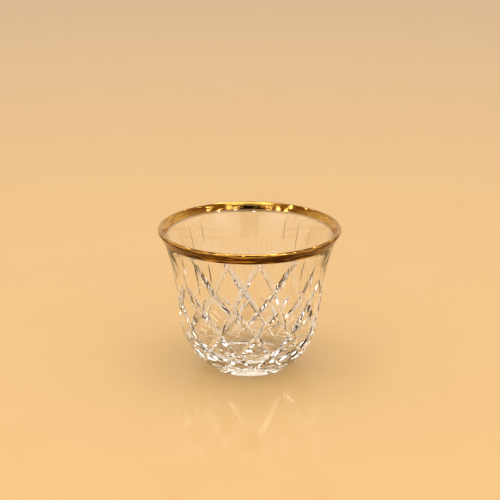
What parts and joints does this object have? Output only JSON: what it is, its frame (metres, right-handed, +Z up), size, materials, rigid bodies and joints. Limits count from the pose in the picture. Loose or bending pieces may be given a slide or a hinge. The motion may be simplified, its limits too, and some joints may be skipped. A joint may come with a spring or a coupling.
{
  "type": "arabic coffee cup",
  "caption": "Handleless coffee cup of cut clear glass: round bowl on a flat foot, diamond and leaf mitre cuts, flared mouth and a gilded rounded lip, for serving hot coffee.",
  "frame": {"origin": "middle of the flat foot, on the surface that the cup stands on", "axes": "+Z up along the cup's axis; -Y is the pictured front"},
  "size_m": [0.07, 0.07, 0.0552],
  "materials": {
    "cut_glass": "polished",
    "fired_gold": "polished"
  },
  "bodies": {
    "root": {"glass_body": "cut_glass", "gold_rim": "fired_gold"}
  },
  "joints": []
}
